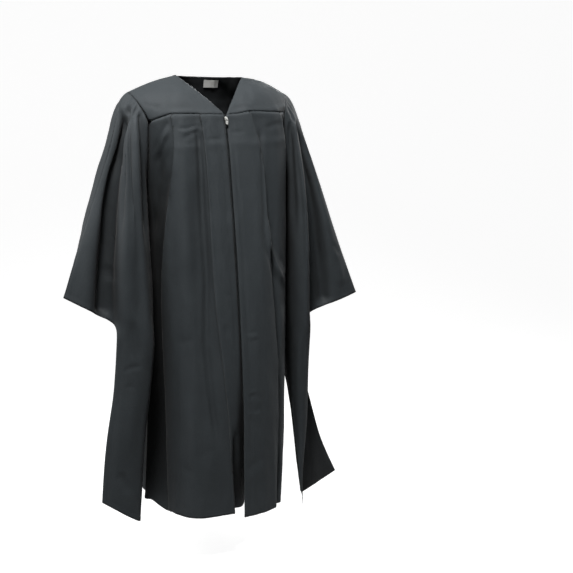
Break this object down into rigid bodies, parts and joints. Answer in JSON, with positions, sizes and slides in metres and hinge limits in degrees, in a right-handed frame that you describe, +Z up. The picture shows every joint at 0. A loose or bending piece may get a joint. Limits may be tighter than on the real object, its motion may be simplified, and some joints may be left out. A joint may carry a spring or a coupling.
{
  "type": "graduation gown",
  "caption": "Long open-front academic gown with yokes, pleated zip front, gathered wide sleeves with hanging tails, shaped as worn, with a turning zip pull.",
  "frame": {"origin": "midway between the two points where the shoulder seams meet the neck, at their height, where the wearer's shoulders carry the gown", "axes": "+Z up along the gown, -Y out of the zipped front, +X to the wearer's left"},
  "size_m": [0.865, 0.4617, 1.2544],
  "materials": {
    "gown_cloth": "matt woven polyester",
    "zip_tape": "woven tape with moulded teeth",
    "zip_metal": "light painted die casting",
    "label": "blank woven satin"
  },
  "bodies": {
    "gown": {"yoke_front_right": "gown_cloth", "yoke_front_left": "gown_cloth", "yoke_back": "gown_cloth", "front_right": "gown_cloth", "front_left": "gown_cloth", "back": "gown_cloth", "sleeve_right_front": "gown_cloth", "sleeve_right_back": "gown_cloth", "sleeve_left_front": "gown_cloth", "sleeve_left_back": "gown_cloth", "zip_tape": "zip_tape", "zip_slider": "zip_metal", "label": "label"},
    "pull_tab": {"pull_tab": "zip_metal"}
  },
  "joints": [
    {"name": "pull_tab_hinge", "type": "hinge", "parent": "gown", "child": "pull_tab", "pos_m": [0, -0.11822, -0.11374], "axis": [-1, 0, 0], "range_deg": [0, 150]}
  ]
}
